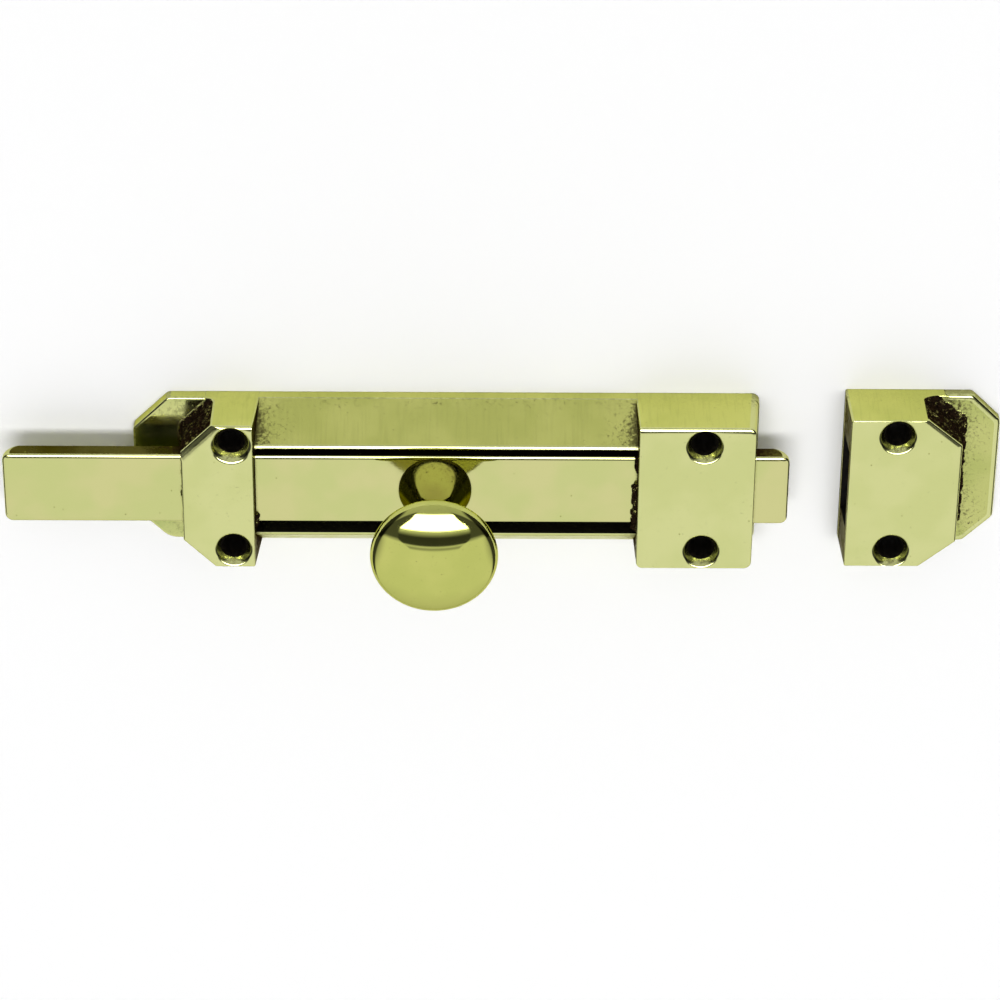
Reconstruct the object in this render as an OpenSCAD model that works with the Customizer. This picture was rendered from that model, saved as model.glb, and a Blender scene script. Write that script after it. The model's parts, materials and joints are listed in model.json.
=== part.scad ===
// Surface-mounted slide bolt in cast brass: a body with two guides, a flat bolt
// with a mushroom knob, and a separate keep. All sizes are in millimetres.
// The latch lies on its back. The mounting face is z = 0, +Z points out of the
// door, and the bolt shoots along +X into the keep. The origin is the middle of
// the body's four screw holes, on the mounting face.

/* [Body] */
// Overall length of the body casting, ear included
body_len = 126.2; // [124:0.1:140]
// Width of the body casting at its mounting face
body_w = 33.4; // [33:0.2:38]
// Depth of the two guides, from the mounting face to their front
body_depth = 13.8; // [13.4:0.2:16]
// Thickness of the base plate
plate_t = 2.6; // [2:0.1:2.9]
// Length of the thin ear beyond the left guide
ear_len = 10.2; // [8:0.2:14]
// Size of the cuts across the ear's corners
ear_cut = 7.2; // [3:0.2:8]
// Length of the left guide
left_guide_len = 14.4; // [13.6:0.2:18]
// Length of the right guide
right_guide_len = 23.3; // [18:0.1:26]
// Size of the cuts across the left guide's outer corners
guide_cut = 6.4; // [3:0.2:6.6]
// How far each side of a guide leans in from the plate to its front
draft = 0.2; // [0:0.1:0.8]
// How far the ends of a guide lean in from the mounting face to its front
end_draft = 1.2; // [0:0.1:1.5]
// Radius of the corners at the plain end of the body
corner_r = 1.5; // [0.5:0.1:2]
// Half of the clear width between the two rails
rail_gap = 9.85; // [9:0.05:10.5]
// Height of the rails' front edge above the mounting face
rail_z = 11.1; // [9:0.1:12]
// Width of the flat land along each rail's front edge
rail_land = 0.7; // [0.3:0.1:1.5]
// How far the casting lip reaches over the bolt from the right guide
lip_len = 1.5; // [0.5:0.1:3]

/* [Bolt] */
// Length of the flat bolt
bolt_len = 158; // [152:1:165]
// Width of the bolt
bolt_w = 15.7; // [14:0.1:16]
// Thickness of the bolt
bolt_t = 3.6; // [3:0.1:3.8]
// Height of the bolt's back face above the mounting face
bolt_z = 6.9; // [6.7:0.1:7]
// Length of the lead-in slope on the back of each end
bolt_lead = 2.5; // [1:0.1:4]
// Running clearance around the bolt in its guides
bolt_clear = 0.1; // [0.05:0.01:0.2]

/* [Knob] */
// Radius of the knob's rim
knob_r = 12.6; // [10:0.1:14]
// Height of the knob's crown above the mounting face
knob_top = 39.2; // [34:0.1:44]
// Radius of the rounding around the rim
rim_r = 1.9; // [1:0.1:2.4]
// Rise of the crown above the middle of the rim
crown_rise = 4.2; // [3:0.1:6]
// Radius of the neck
neck_r = 3.3; // [3.2:0.1:4]
// Radius of the flange that sits on the bolt
flange_r = 7.3; // [6.5:0.1:8]

/* [Fixings] */
// Diameter of the screw holes, for No. 8 countersunk wood screws
screw_d = 4.5; // [4:0.1:5]
// Diameter of the countersinks
sink_d = 7.9; // [7:0.1:8.4]
// Distance between the body's screws along the bolt
screw_dx = 94.5; // [93:0.5:96]
// Distance between the body's screws across the bolt
screw_dy = 24.6; // [24.2:0.1:24.8]
// Diameter of the threaded stud that holds the knob
stud_d = 5; // [4:0.5:5]

/* [Keep] */
// Overall length of the keep casting, ear included
keep_len = 31.4; // [30:0.2:40]
// Width of the keep casting at its mounting face
keep_w = 34.8; // [34.2:0.2:38]
// Depth of the keep, from the mounting face to its front
keep_depth = 12.2; // [12:0.1:14]
// Thickness of the keep's base plate
keep_plate_t = 2.2; // [1.6:0.1:2.9]
// Length of the keep's block
keep_block_len = 22.9; // [21:0.1:24]
// Gap between the body and the keep as drawn
keep_gap = 17.3; // [1:0.1:40]
// Distance between the keep's two screws
keep_screw_dy = 26.8; // [26:0.1:27]
// Distance from the keep's mouth to its screws
keep_screw_x = 9.9; // [8:0.1:12]
// How far the keep's mouth leans in from the mounting face to its front
keep_end_draft = 0.5; // [0:0.1:1]

/* [Hidden] */
$fn = 96;

brass = "#cbcf8c";
phosphor_bronze = "#b08a4a";
turned_brass = "#c0b46a";

over = 0.5;            // how far a cut runs past the face that it opens
arc_steps = 10;        // flats in each rounded stretch of an outline

// Body, from its plain right end to its cut left end
half_w = body_w / 2;
end_margin = 11.4;     // from the right screws to the body's plain end
body_right = screw_dx / 2 + end_margin;
body_left = body_right - body_len;
left_guide_x = body_left + ear_len;
right_guide_x = body_right - end_draft - right_guide_len;
tunnel_w = bolt_w + 2 * bolt_clear;
tunnel_z = bolt_z - bolt_clear;
tunnel_h = bolt_t + 2 * bolt_clear;
tunnel_top = tunnel_z + tunnel_h;
inner_share = 0.4;     // the right guide's inner end leans less than the others
inner_lean = end_draft * inner_share;
guide_corner_r = 0.3;
rail_sink = 0.1;       // how far the rails reach into the plate
sink_rim = 0.5;        // straight rim above each countersink
lip_y = [-9.2, 2];              // where the lip starts and ends across the bolt
lip_t = 0.9;

// Bolt and knob, at rest near the middle of the travel
bolt_front = bolt_z + bolt_t;
bolt_left = -93.4;
bolt_corner_r = 1;
knob_x = -6.6;
lead_share = 0.7;      // share of the bolt's thickness that the lead-in slopes take
stud_clear = 0.1;
stud_hole_d = stud_d + stud_clear;
stud_tip = 0.4;
stud_in_knob = 9;      // how far the stud screws into the knob
washer_t = 0.6;
washer_d = 9.6;
nut_t = 2.5;
nut_flats = 8;
stud_tail = 0.3;       // stud showing below the nut
flange_t = 0.6;
foot_slope = 63;       // slope of the cone that rises from the flange, in degrees
foot_r = 8;            // radius where that cone runs into the neck
back_slope = 15;       // slope of the knob's underside, in degrees
flare_r = 4.2;
nut_z = bolt_z - washer_t - nut_t;

// The knob's outline: foot above the flange, flare under the rim, rim and crown
foot_x = neck_r + foot_r * (1 - sin(foot_slope));
foot_z = bolt_front + flange_t + (flange_r - foot_x) * tan(foot_slope) + foot_r * cos(foot_slope);
rim_z = knob_top - crown_rise;
rim_c = [knob_r - rim_r, rim_z];
crown_r = (pow(rim_c[0], 2) + crown_rise * crown_rise - rim_r * rim_r) / (2 * (crown_rise - rim_r));
crown_c = [0, knob_top - crown_r];
crown_a = atan2(rim_z - crown_c[1], rim_c[0]);
rim_start = rim_c + rim_r * [sin(back_slope), -cos(back_slope)];
flare_x = neck_r + flare_r - flare_r * sin(back_slope);
flare_z = rim_start[1] - (rim_start[0] - flare_x) * tan(back_slope) - flare_r * cos(back_slope);

// Friction spring: a bowed leaf in a recess under the bolt, in the left guide
recess_wall = 1.2;
recess_len = left_guide_len - 2 * recess_wall;
recess_w = 6.6;
recess_z = 3.4;
leaf_w = 5.8;
leaf_t = 0.35;
leaf_tab = 4.2;
leaf_play = 0.3;       // free room at each end of the recess
leaf_gap = 0.05;       // drawn gap between the bow and the bolt
rivet_r = 0.9;
rivet_head_r = 1.7;
rivet_head_t = 0.6;
rivet_taper = 0.7;     // how much narrower the rivet's head is on top
leaf_x = left_guide_x + recess_wall + leaf_play;
leaf_len = recess_len - 2 * leaf_play;
rivet_x = leaf_x + leaf_tab / 2;
bow_len = leaf_len - leaf_tab;
bow_rise = bolt_z - leaf_gap - recess_z;
bow_r = (pow(bow_len / 2, 2) + bow_rise * bow_rise) / (2 * bow_rise);

// Keep
keep_x = body_right + keep_gap;
keep_half_w = keep_w / 2;
keep_y = 0.4;          // the keep sits this far above the bolt's centre line
keep_cut_x = 7.3;
keep_cut_y = 6.1;
keep_ear_cut = 5.9;
keep_corner_r = 0.8;
mouth_play = 2;
mouth_gap = 0.25;
mouth_w = bolt_w + mouth_play;
mouth_top = bolt_front + mouth_gap;

// Points on an arc about c, from angle a0 to a1
function arc(c, r, a0, a1) =
    [for (i = [0:arc_steps]) let (a = a0 + (a1 - a0) * i / arc_steps) c + r * [cos(a), sin(a)]];

function mirrored(points) = [for (i = [len(points) - 1:-1:0]) [points[i][0], -points[i][1]]];

// A plate's outline, from a cut end at x = -len to a plain end at x = 0
module cut_plan(len, half_w, cut_x, cut_y, r) {
    upper = concat(arc([-r, half_w - r], r, 0, 90), [[-len + cut_x, half_w], [-len, half_w - cut_y]]);
    polygon(concat(mirrored(upper), upper));
}

// A YZ outline drawn along X from x0 to x1
module run_x(x0, x1, points) {
    translate([x0, 0, 0])
        rotate([90, 0, 90])
            linear_extrude(x1 - x0) polygon(points);
}

// A block whose sides and ends lean in towards its front; lean holds how far each end leans in
module drafted_block(x0, x1, half_w, depth, lean) {
    intersection() {
        run_x(x0, x1, [[-half_w, 0], [half_w, 0], [half_w - draft, depth], [-half_w + draft, depth]]);
        translate([0, half_w, 0])
            rotate([90, 0, 0])
                linear_extrude(2 * half_w)
                    polygon([[x0, 0], [x1, 0], [x1 - lean[1], depth], [x0 + lean[0], depth]]);
    }
}

// One countersunk screw hole, opening at the given depth
module screw_hole(depth) {
    sink_h = (sink_d - screw_d) / 2;
    translate([0, 0, -over]) cylinder(d = screw_d, h = depth + 2 * over);
    translate([0, 0, depth - sink_rim - sink_h]) cylinder(d1 = screw_d, d2 = sink_d, h = sink_h);
    translate([0, 0, depth - sink_rim]) cylinder(d = sink_d, h = sink_rim + over);
}

module body_plan() {
    translate([body_right, 0]) cut_plan(body_len, half_w, ear_cut, ear_cut, corner_r);
}

module rails() {
    profile = [[rail_gap, plate_t - rail_sink], [half_w, plate_t - rail_sink], [half_w, plate_t],
               [rail_gap + rail_land, rail_z], [rail_gap, rail_z]];
    for (side = [0, 1])
        mirror([0, side, 0])
            run_x(left_guide_x + left_guide_len - over, right_guide_x + over, profile);
}

module left_guide() {
    right = left_guide_x + left_guide_len + end_draft;
    intersection() {
        drafted_block(left_guide_x, right, half_w, body_depth, [0, end_draft]);
        translate([right, 0, 0])
            linear_extrude(body_depth)
                cut_plan(left_guide_len + end_draft, half_w, guide_cut, guide_cut, guide_corner_r);
    }
}

module right_guide() {
    intersection() {
        drafted_block(right_guide_x - inner_lean, body_right, half_w, body_depth, [inner_lean, end_draft]);
        linear_extrude(body_depth) body_plan();
    }
}

// A lip left by the casting at the mouth of the right guide's tunnel
module lip() {
    translate([right_guide_x - lip_len, lip_y[0], tunnel_top])
        cube([lip_len + over, lip_y[1] - lip_y[0], lip_t]);
}

module body_casting() {
    color(brass)
        difference() {
            union() {
                linear_extrude(plate_t) body_plan();
                rails();
                left_guide();
                right_guide();
                lip();
            }
            // Tunnel for the bolt, through both guides
            translate([body_left - over, -tunnel_w / 2, tunnel_z])
                cube([body_len + 2 * over, tunnel_w, tunnel_h]);
            // Recess for the friction spring
            translate([left_guide_x + recess_wall, -recess_w / 2, recess_z])
                cube([recess_len, recess_w, tunnel_z - recess_z + over]);
            translate([rivet_x, 0, -over]) cylinder(r = rivet_r, h = recess_z + 2 * over);
            for (x = [-1, 1], y = [-1, 1])
                translate([x * screw_dx / 2, y * screw_dy / 2, 0]) screw_hole(body_depth);
        }
}

// The leaf lies flat under its rivet, then bows up to the bolt's back
module friction_spring() {
    color(phosphor_bronze) {
        difference() {
            translate([leaf_x, -leaf_w / 2, recess_z]) cube([leaf_tab + leaf_t, leaf_w, leaf_t]);
            translate([rivet_x, 0, recess_z - over]) cylinder(r = rivet_r, h = leaf_t + 2 * over);
        }
        intersection() {
            translate([leaf_x + leaf_tab + bow_len / 2, leaf_w / 2, recess_z + bow_rise - bow_r])
                rotate([90, 0, 0])
                    difference() {
                        cylinder(r = bow_r, h = leaf_w);
                        translate([0, 0, -over]) cylinder(r = bow_r - leaf_t, h = leaf_w + 2 * over);
                    }
            translate([leaf_x + leaf_tab, -leaf_w / 2, recess_z]) cube([bow_len, leaf_w, bow_rise + over]);
        }
    }
}

module spring_rivet() {
    color(turned_brass)
        translate([rivet_x, 0, 0]) {
            cylinder(r = rivet_r, h = recess_z + leaf_t);
            translate([0, 0, recess_z + leaf_t])
                cylinder(r1 = rivet_head_r, r2 = rivet_head_r * rivet_taper, h = rivet_head_t);
        }
}

module bolt_bar() {
    r = bolt_corner_r;
    half = bolt_w / 2;
    upper = concat(arc([bolt_len - r, half - r], r, 0, 90), arc([r, half - r], r, 90, 180));
    lead_h = bolt_t * lead_share;
    side = [[bolt_lead, 0], [bolt_len - bolt_lead, 0], [bolt_len, lead_h], [bolt_len, bolt_t],
            [0, bolt_t], [0, lead_h]];
    color(brass)
        translate([bolt_left, 0, bolt_z])
            difference() {
                intersection() {
                    linear_extrude(bolt_t) polygon(concat(mirrored(upper), upper));
                    translate([0, bolt_w, 0])
                        rotate([90, 0, 0])
                            linear_extrude(2 * bolt_w) polygon(side);
                }
                translate([knob_x - bolt_left, 0, -over])
                    cylinder(d = stud_hole_d, h = bolt_t + 2 * over);
            }
}

// The outline runs up from the bolt's front face: flange, foot, flare, rim, crown
module knob() {
    outline = concat(
        [[0, bolt_front], [flange_r, bolt_front], [flange_r, bolt_front + flange_t]],
        arc([neck_r + foot_r, foot_z], foot_r, 270 - foot_slope, 180),
        arc([neck_r + flare_r, flare_z], flare_r, 180, 90 + back_slope),
        arc(rim_c, rim_r, back_slope - 90, crown_a),
        arc(crown_c, crown_r, crown_a, 90));
    color(brass)
        translate([knob_x, 0, 0])
            difference() {
                rotate_extrude() polygon(outline);
                translate([0, 0, bolt_front - over]) cylinder(d = stud_d, h = stud_in_knob + over);
            }
}

module knob_stud() {
    low = nut_z - stud_tail;
    color(turned_brass)
        translate([knob_x, 0, low]) {
            cylinder(d1 = stud_d - 2 * stud_tip, d2 = stud_d, h = stud_tail);
            translate([0, 0, stud_tail])
                cylinder(d = stud_d, h = bolt_front + stud_in_knob - low - stud_tail - stud_tip);
        }
}

module stud_washer() {
    color(phosphor_bronze)
        translate([knob_x, 0, bolt_z - washer_t])
            difference() {
                cylinder(d = washer_d, h = washer_t);
                translate([0, 0, -over]) cylinder(d = stud_hole_d, h = washer_t + 2 * over);
            }
}

module stud_nut() {
    corner_d = nut_flats / cos(30);
    color(turned_brass)
        translate([knob_x, 0, nut_z])
            difference() {
                cylinder(d = corner_d, h = nut_t, $fn = 6);
                translate([0, 0, -over]) cylinder(d = stud_d, h = nut_t + 2 * over);
            }
}

module keep_block() {
    intersection() {
        drafted_block(0, keep_block_len, keep_half_w, keep_depth, [keep_end_draft, 0]);
        mirror([1, 0, 0])
            linear_extrude(keep_depth)
                cut_plan(keep_block_len, keep_half_w, keep_cut_x, keep_cut_y, keep_corner_r);
    }
}

module keep_casting() {
    color(brass)
        translate([keep_x, keep_y, 0])
            difference() {
                union() {
                    mirror([1, 0, 0])
                        linear_extrude(keep_plate_t)
                            cut_plan(keep_len, keep_half_w, keep_ear_cut, keep_ear_cut, keep_corner_r);
                    keep_block();
                }
                translate([-over, -mouth_w / 2, keep_plate_t])
                    cube([keep_len + 2 * over, mouth_w, mouth_top - keep_plate_t]);
                for (y = [-1, 1])
                    translate([keep_screw_x, y * keep_screw_dy / 2, 0]) screw_hole(keep_depth);
            }
}

body_casting();
friction_spring();
spring_rivet();
bolt_bar();
knob();
knob_stud();
stud_washer();
stud_nut();
keep_casting();
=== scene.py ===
"""Looks of a surface slide bolt in polished cast brass, with a mushroom knob and a separate keep.

Shapes are worked out in millimetres in the frame of the CAD model and become metres at the end.
The latch lies on its back: z = 0 is its mounting face and +X is the way the bolt shoots.
"""
import json
from math import asin, atan2, cos, degrees, dist, hypot, pi, radians, sin, sqrt, tan

import bmesh
import bpy
from mathutils import Matrix, Vector, noise


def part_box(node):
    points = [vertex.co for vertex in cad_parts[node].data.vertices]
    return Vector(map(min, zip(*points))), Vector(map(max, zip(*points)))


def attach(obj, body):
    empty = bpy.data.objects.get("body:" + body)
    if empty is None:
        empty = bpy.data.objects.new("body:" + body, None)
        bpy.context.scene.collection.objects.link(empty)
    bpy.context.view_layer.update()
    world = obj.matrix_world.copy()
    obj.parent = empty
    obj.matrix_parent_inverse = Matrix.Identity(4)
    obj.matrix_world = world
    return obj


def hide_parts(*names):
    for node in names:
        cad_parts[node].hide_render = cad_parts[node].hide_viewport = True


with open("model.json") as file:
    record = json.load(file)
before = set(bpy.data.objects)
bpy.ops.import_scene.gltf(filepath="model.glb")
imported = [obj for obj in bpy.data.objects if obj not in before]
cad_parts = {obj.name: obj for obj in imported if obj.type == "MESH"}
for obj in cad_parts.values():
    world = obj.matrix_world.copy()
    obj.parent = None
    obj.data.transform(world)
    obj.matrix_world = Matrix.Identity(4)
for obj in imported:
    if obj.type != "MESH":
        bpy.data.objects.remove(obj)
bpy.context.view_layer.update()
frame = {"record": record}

MM = 0.001


def box_mm(node):
    """The lowest and highest corner of a CAD node, in millimetres."""
    low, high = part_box(node)
    return low / MM, high / MM


def mount(name):
    """A mount's place and dimensions, in millimetres."""
    found = next(m for m in frame["record"]["mounts"] if m["name"] == name)
    return Vector(found["pos_m"]) / MM, found["dims"]


# ----- sizes, in millimetres

body_low, body_high = box_mm("body_casting")
bar_low, bar_high = box_mm("bolt_bar")
knob_low, knob_high = box_mm("knob")
stud_low, stud_high = box_mm("knob_stud")
washer_low, washer_high = box_mm("stud_washer")
nut_low, nut_high = box_mm("stud_nut")
leaf_low, leaf_high = box_mm("friction_spring")
rivet_low, rivet_high = box_mm("spring_rivet")
keep_low, keep_high = box_mm("keep_casting")
body_screws, body_screw_dims = mount("body_screws")
keep_screws, keep_screw_dims = mount("keep_screws")

# Body casting. The drafts are how far a wall leans in over its whole height
HALF_W = body_high.y
DEPTH = body_high.z
PLATE_T = 2.6
PLATE_INSET = 0.03      # the plate's sides stand this far inside the guides' sides
EAR_LEN = 10.2
EAR_CUT = 7.2
LEFT_GUIDE_LEN = 14.4
RIGHT_GUIDE_LEN = 23.3
GUIDE_CUT = 6.4
SIDE_DRAFT = 0.2
END_DRAFT = 1.2
INNER_DRAFT = 0.48
RAIL_GAP = 9.85
RAIL_Z = 11.1
RAIL_LAND = 0.7
RAIL_ROUND = 0.4
LAND_TILTS = (10, 27)   # how far the rail's land leans outwards, inner to outer edge, in degrees
# How far each kind of edge is rolled off: shares of the gentle and of the tight part
EDGE_ROUND = (1.0, 1.0)     # the front edge along the +Y side of each guide
CUT_ROUND = (2.2, 1.0)      # the front edge above the left guide's upper cut
WALL_ROUND = (0.8, 0.9)     # the front edges above the other as-cast walls
FINE_ROUND = (0.15, 0.5)    # the other front edges
PLATE_ROUND = (0.3, 0.8)
EAR_ROUND = (0.7, 1.2)      # the front edge of the keep's ear
BAR_ROUND = (0.75, 0.8)
BAR_END_ROUND = (0.9, 0.9)
left_guide_x = body_low.x + EAR_LEN
left_guide_end = left_guide_x + LEFT_GUIDE_LEN + END_DRAFT
right_guide_x = body_high.x - END_DRAFT - RIGHT_GUIDE_LEN

GUIDE_SCOOP = (1.4, 1.5)    # width and height of the hollow at the foot of its as-cast walls
SKIN_DEPTH = 0.3            # as-cast walls start this far below the plate's front
SKIN_LIFT = 0.36            # height of the lumps on these walls
KEEP_SKIN_LIFT = 0.34       # the same for the keep's

# The ragged lips over the tunnel's mouths: from and to along Y, how far they reach out, and the
# place in the noise that shapes them
RIGHT_LIPS = ((-9.2, 2.0, 1.4, 4.2), (4.4, 8.6, 0.9, 9.6))
LEFT_LIP = (-8.4, -5.6, 0.75, 2.7)

# The spring's recess, the spring and its rivet
RECESS_HALF_W = 3.3
RECESS_ROOM = 0.3           # between the leaf's ends and the recess
LEAF_T = 0.35
LEAF_TAB = 4.2
SHANK_R = 0.9

# Bar and its tunnel
CLEARANCE = 0.1
LEAD_LEN = 2.5          # length of the lead-in slope behind each end
LEAD_SHARE = 0.7        # share of the bar's depth that it takes
BAR_CORNER = 1.5
tunnel_half_w = bar_high.y + CLEARANCE
tunnel_low = bar_low.z - CLEARANCE
tunnel_high = bar_high.z + CLEARANCE

# Screw holes
BORE_R = 2.25
CONE_R = 3.36           # where the cone meets the lip
LIP_R = 1.0             # radius of the lip's roll into the front face
WORN_LIP_R = 1.6        # the same for the hole that polishing wore most
CONE_TILT = 57          # how steep the cone is, in degrees
SHADE_AND_DIRT_R = 2.75           # the cone is painted black inside this radius: painted shade down the hole, with dirt

# Keep
KEEP_PLATE_T = 2.2
KEEP_BLOCK_LEN = 22.9
KEEP_CUT_X = 7.3
KEEP_CUT_Y = 6.1
KEEP_EAR_CUT = 5.9
KEEP_DRAFT = 0.5
KEEP_SCOOP = (2.9, 1.9)     # width and height of the hollow where its as-cast walls run out
MOUTH_HALF_W = 8.85
MOUTH_TOP = 10.75
MOUTH_SILL = 0.002          # the mouth's floor stands this far above the plate
SCOOP_MARGIN = 0.07         # the mouth's way out clears the scoop by this much
keep_y = keep_screws.y
keep_half_w = (keep_high.y - keep_low.y) / 2
keep_depth = keep_high.z

# The knob's axis, its stud's radius, and the radius that the stud's holes are made from
knob_x = (knob_low.x + knob_high.x) / 2
stud_r = (stud_high.x - stud_low.x) / 2
fit_r = (stud_high.y - stud_low.y) / 2

# Material slots of the castings, in this order on every casting mesh
# Slot DARK is black: painted shade deep in channels and bores, with dirt. The slot after it is dark brass:
# painted shade, with patina, on faces turned into gaps
POLISHED, AS_CAST, BRUSHED, DARK, SHADED_PATINA, WAVY, SPECKLED, SLOPE = range(8)
# Material slots of the knob
KNOB_SKIN, KNOB_BORE, KNOB_NECK = range(3)

NOISE_SEED = Vector((31.7, 12.9, 57.3))


# ----- mesh helpers

def arc(cx, cy, r, start, end, steps):
    """Points on an arc about (cx, cy) from one angle to another, in degrees."""
    angles = [radians(start + (end - start) * i / steps) for i in range(steps + 1)]
    return [(cx + r * cos(a), cy + r * sin(a)) for a in angles]


def to_object(name, bm, materials):
    """Makes a bmesh an object in the scene, still in millimetres."""
    mesh = bpy.data.meshes.new(name)
    bm.to_mesh(mesh)
    bm.free()
    for material in materials:
        mesh.materials.append(material)
    made = bpy.data.objects.new(name, mesh)
    bpy.context.scene.collection.objects.link(made)
    return made


def loft(name, rings, materials, tags=None, closed=True):
    """A solid through rings of points with equal counts. tags holds each column's material index,
    or is a function of the ring and the column."""
    bm = bmesh.new()
    made = [[bm.verts.new(p) for p in ring] for ring in rings]
    count = len(rings[0])
    pairs = list(zip(made, made[1:]))
    if not closed:
        pairs.append((made[-1], made[0]))
    pick = tags if callable(tags) else lambda k, i: tags[i] if tags else 0
    for k, (low, high) in enumerate(pairs):
        for i in range(count):
            j = (i + 1) % count
            face = bm.faces.new((low[i], low[j], high[j], high[i]))
            face.material_index = pick(k, i)
    if closed:
        bm.faces.new(list(reversed(made[0])))
        bm.faces.new(made[-1])
    bmesh.ops.remove_doubles(bm, verts=bm.verts, dist=1e-4)
    bmesh.ops.dissolve_degenerate(bm, edges=bm.edges, dist=1e-5)
    bmesh.ops.dissolve_limit(bm, angle_limit=radians(0.02), verts=bm.verts, edges=bm.edges,
                             delimit={"MATERIAL"})
    bmesh.ops.recalc_face_normals(bm, faces=bm.faces)
    return to_object(name, bm, materials)


def apply_modifiers(made):
    """Replaces an object's mesh with what its modifiers make of it."""
    graph = bpy.context.evaluated_depsgraph_get()
    mesh = bpy.data.meshes.new_from_object(made.evaluated_get(graph))
    made.modifiers.clear()
    made.data = mesh


def combine(target, tool, operation):
    """Joins, cuts or intersects target with tool, and uses tool up."""
    modifier = target.modifiers.new("combine", "BOOLEAN")
    modifier.operation = operation
    modifier.solver = "EXACT"
    modifier.object = tool
    bpy.context.view_layer.update()
    apply_modifiers(target)
    bpy.data.objects.remove(tool)


FLAT_WIDTH = 0.55       # faces wider than this many millimetres keep their own normal


def set_normals(mesh, sharp):
    """Gives every corner of every face its normal. Big flat faces stay truly flat, the small faces
    beside them blend into them, and edges sharper than this many degrees stay sharp."""
    bm = bmesh.new()
    bm.from_mesh(mesh)
    bm.faces.ensure_lookup_table()
    least = cos(radians(sharp))
    area = [f.calc_area() for f in bm.faces]
    wide = [2 * area[f.index] > FLAT_WIDTH * f.calc_perimeter() for f in bm.faces]
    normals = []
    for face in bm.faces:
        for corner in face.loops:
            if wide[face.index]:
                normals.append(face.normal.copy())
                continue
            near = [f for f in corner.vert.link_faces if f.normal.dot(face.normal) > least]
            flat = [f for f in near if wide[f.index]]
            if flat:
                normals.append(max(flat, key=lambda f: area[f.index]).normal.copy())
            else:
                total = sum((f.normal * sqrt(area[f.index]) for f in near), Vector())
                normals.append(total.normalized() if total.length > 1e-9 else face.normal.copy())
    bm.free()
    mesh.shade_smooth()
    mesh.normals_split_custom_set(normals)


SLIVER = 0.003          # edges shorter than this many millimetres are leftovers of a cut


def clear_slivers(mesh):
    """Merges the points and drops the empty faces that a cut leaves behind."""
    bm = bmesh.new()
    bm.from_mesh(mesh)
    bmesh.ops.remove_doubles(bm, verts=bm.verts, dist=SLIVER)
    bmesh.ops.dissolve_degenerate(bm, dist=SLIVER, edges=bm.edges)
    bm.to_mesh(mesh)
    bm.free()


def finish_piece(made, name, body, slot, *nodes, sharp=38):
    """Sets a finished piece's normals, scales it to metres and ties it to the frame."""
    mesh = made.data
    made.name = name
    mesh.name = name
    clear_slivers(mesh)
    set_normals(mesh, sharp)
    mesh.transform(Matrix.Scale(MM, 4))
    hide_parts(*nodes)
    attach(made, body)


# ----- blocks with leaning sides

def side(x, y, facing, lean, corner=0.3, tag=POLISHED, tag_top=0.0, cast=None, tag_low=0.0):
    """One side of a block: a line through (x, y) facing an angle in degrees. lean(z) is how far it
    stands in at height z, corner the radius where it meets the next side, tag its material between
    the heights tag_low and tag_top, and cast(p, z) the lift of its as-cast skin. It is speckled
    below tag_low and polished above tag_top."""
    turn = radians(facing)
    return {"at": Vector((x, y)), "normal": Vector((cos(turn), sin(turn))),
            "lean": lean, "corner": corner, "tag": tag, "tag_low": tag_low, "tag_top": tag_top,
            "cast": cast}


def upright(z):
    """The lean of a side that stands square."""
    return 0.0


def drafted(total, depth):
    """The lean of a side that comes in evenly by total over the block's depth."""
    return lambda z: total * z / depth


# A buffing wheel rolls front edges off gently, then tightly: each stretch ends at a tilt in degrees
# and has a radius in millimetres and a count of steps
GENTLE_ROLL = ((15, 3.4, 4), (25, 2.2, 3))
TIGHT_ROLL = (90, 0.42, 5)


def roll_profile(edge):
    """How a front edge rolls off: pairs of drop below the front and way out towards the side.
    edge scales the gentle stretches and the tight one."""
    gentle, tight = edge
    stretches = [(limit, r * gentle, steps) for limit, r, steps in GENTLE_ROLL]
    stretches.append((TIGHT_ROLL[0], TIGHT_ROLL[1] * tight, TIGHT_ROLL[2]))
    points = [(0.0, 0.0)]
    start = 0.0
    for limit, r, steps in stretches:
        drop, out = points[-1]
        end = radians(limit)
        for i in range(1, steps + 1):
            tilt = start + (end - start) * i / steps
            points.append((drop + r * (cos(start) - cos(tilt)),
                           out + r * (sin(tilt) - sin(start))))
        start = end
    return points


def roll_foot(top, edge):
    """The height where a front edge's rolling-off ends on the side below it."""
    return top - roll_profile(edge)[-1][0]


def rounded(lean, top, edge):
    """A lean whose front edge at the height top rolls off."""
    profile = roll_profile(edge)

    def inset(z):
        drop = min(max(top - z, 0), profile[-1][0])
        k = next(i for i, p in enumerate(profile[1:]) if drop <= p[0] + 1e-9)
        (d0, out0), (d1, out1) = profile[k], profile[k + 1]
        share = min((drop - d0) / (d1 - d0), 1)
        return lean(z) + profile[-1][1] - (out0 + (out1 - out0) * share)
    return inset


def flared(lean, foot, scoop):
    """A lean that sweeps out at the height foot, over a scoop's width and height."""
    width, height = scoop

    def inset(z):
        down = min(max((foot + height - z) / height, 0), 1)
        return lean(z) - width * (1 - sqrt(1 - down * down))
    return inset


def meeting(a, b, z):
    """Where sides a and b meet at height z."""
    reach_a = a["normal"].dot(a["at"]) - a["lean"](z)
    reach_b = b["normal"].dot(b["at"]) - b["lean"](z)
    na, nb = a["normal"], b["normal"]
    spread = na.x * nb.y - na.y * nb.x
    return Vector(((reach_a * nb.y - reach_b * na.y) / spread, (na.x * reach_b - nb.x * reach_a) / spread))


CORNER_STEPS = 6
CAST_STEP = 0.22


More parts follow.
